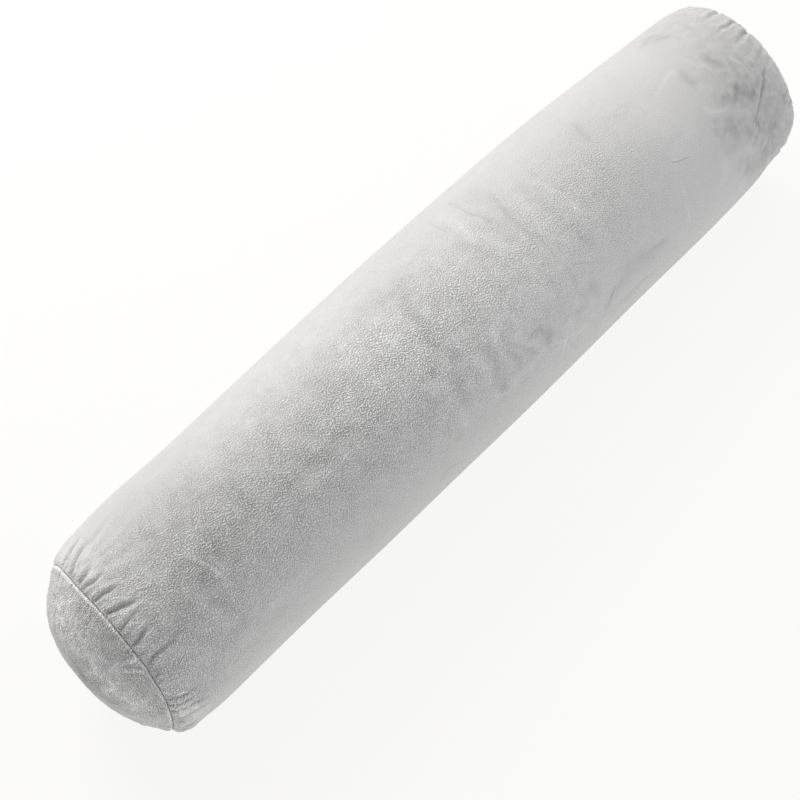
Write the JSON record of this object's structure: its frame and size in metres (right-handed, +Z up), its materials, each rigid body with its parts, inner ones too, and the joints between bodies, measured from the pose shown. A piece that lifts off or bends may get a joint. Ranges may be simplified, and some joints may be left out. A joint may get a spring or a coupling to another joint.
{
  "type": "body pillow",
  "caption": "Long round bolster pillow in short-pile plush, stuffed full and crowned along its length, gathered at sewn seams to domed round end panels, with a flat spot underneath.",
  "frame": {"origin": "middle of the pillow's footprint, on the surface that it lies on", "axes": "+X along the pillow from its left end to its right end, +Z up"},
  "size_m": [0.9236, 0.2107, 0.2007],
  "materials": {
    "plush_tube": "short-pile plush, brushed in uneven patches",
    "plush_end": "short-pile plush, brushed in uneven patches"
  },
  "bodies": {
    "root": {"body_tube": "plush_tube", "end_panel_left": "plush_end", "end_panel_right": "plush_end"}
  },
  "joints": []
}
